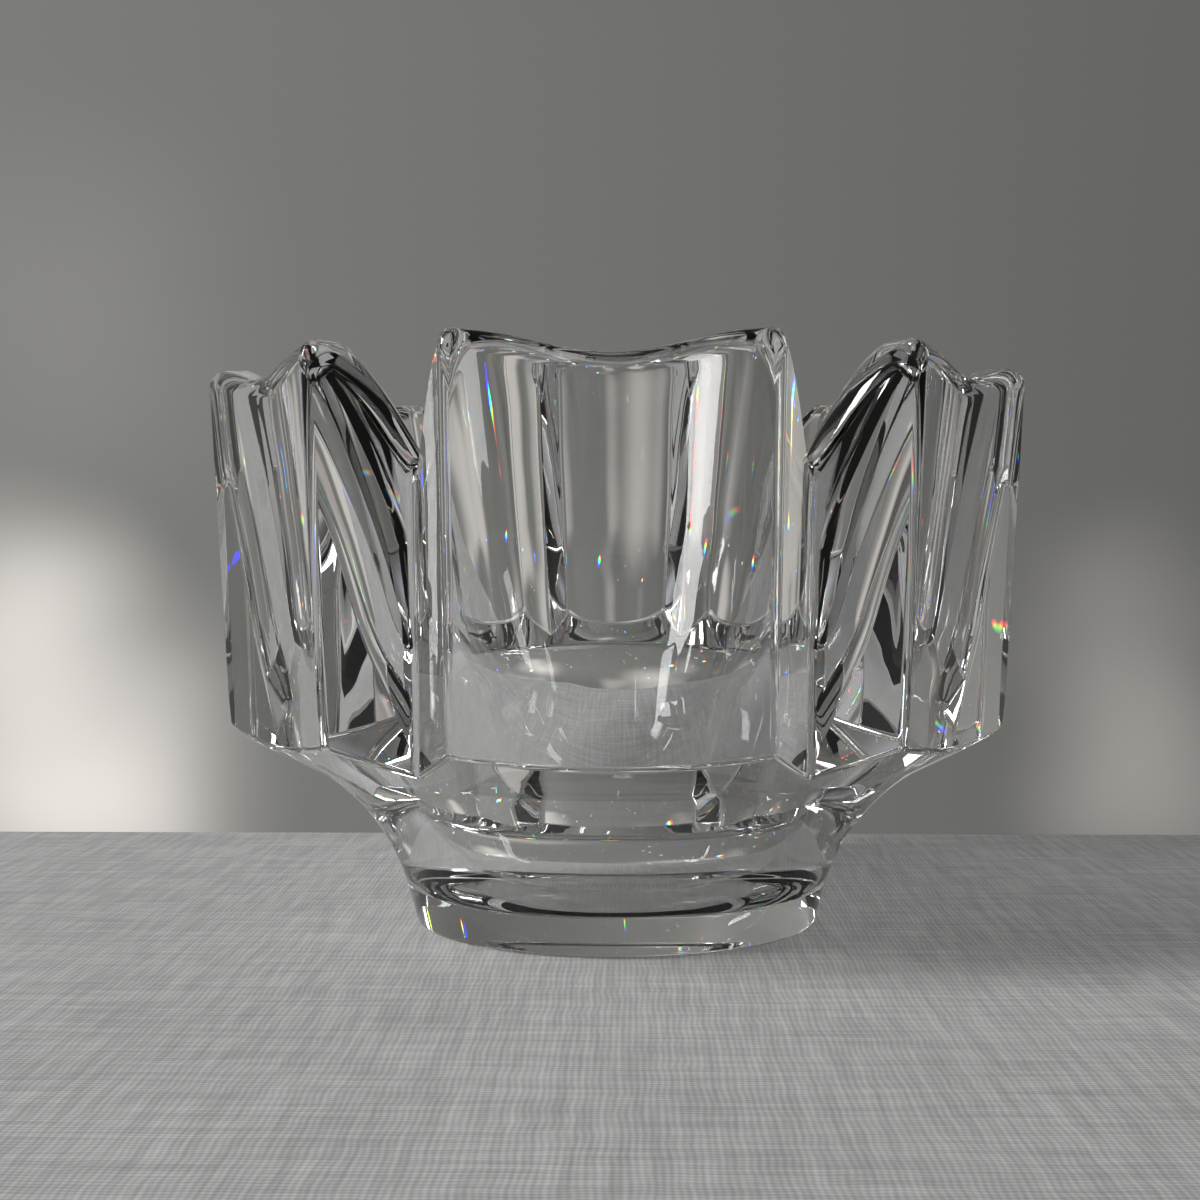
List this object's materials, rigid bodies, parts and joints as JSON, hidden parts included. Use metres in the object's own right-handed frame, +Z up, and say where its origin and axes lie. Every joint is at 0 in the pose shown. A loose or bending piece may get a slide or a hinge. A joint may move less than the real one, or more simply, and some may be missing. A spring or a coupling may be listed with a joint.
{
  "type": "crystal bowl",
  "caption": "Small heavy clear crystal bowl with a crown of six flat-faced lobes parted by V notches outside, a round cavity inside, on a waisted round foot.",
  "frame": {"origin": "middle of the foot's flat underside, which rests on the table", "axes": "+Z up along the bowl's six-fold axis; one lobe faces -Y and the opposite one +Y, and notches lie on +X and -X"},
  "size_m": [0.1272, 0.1222, 0.0876],
  "materials": {
    "crystal": "clear colourless lead crystal, fire polished all over, with a ground and polished flat under the foot"
  },
  "bodies": {
    "root": {"bowl": "crystal"}
  },
  "joints": []
}
